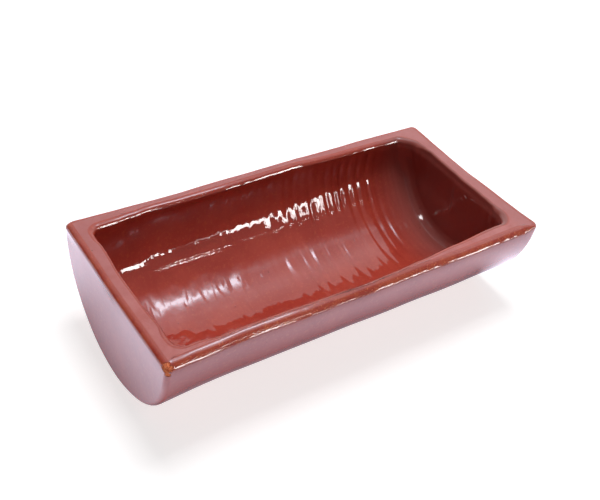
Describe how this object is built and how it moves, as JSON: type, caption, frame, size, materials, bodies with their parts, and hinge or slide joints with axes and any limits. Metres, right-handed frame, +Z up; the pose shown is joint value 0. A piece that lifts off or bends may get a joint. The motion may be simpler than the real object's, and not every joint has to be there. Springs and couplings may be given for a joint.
{
  "type": "half-round clay tile dish",
  "caption": "Half-round trough of glazed red earthenware with closed ends, a thick level rim, throwing rings inside and a flattened foot.",
  "frame": {"origin": "on the floor, under the middle of the dish", "axes": "+X along the trough from the thrown base end to the closed-over end, +Y across it, +Z up out of the open mouth"},
  "size_m": [0.3198, 0.15, 0.0797],
  "materials": {
    "glazed_clay": "glossy red-brown lead-type glaze over red earthenware, thin and orange along worn edges"
  },
  "bodies": {
    "root": {"tile_dish": "glazed_clay"}
  },
  "joints": []
}
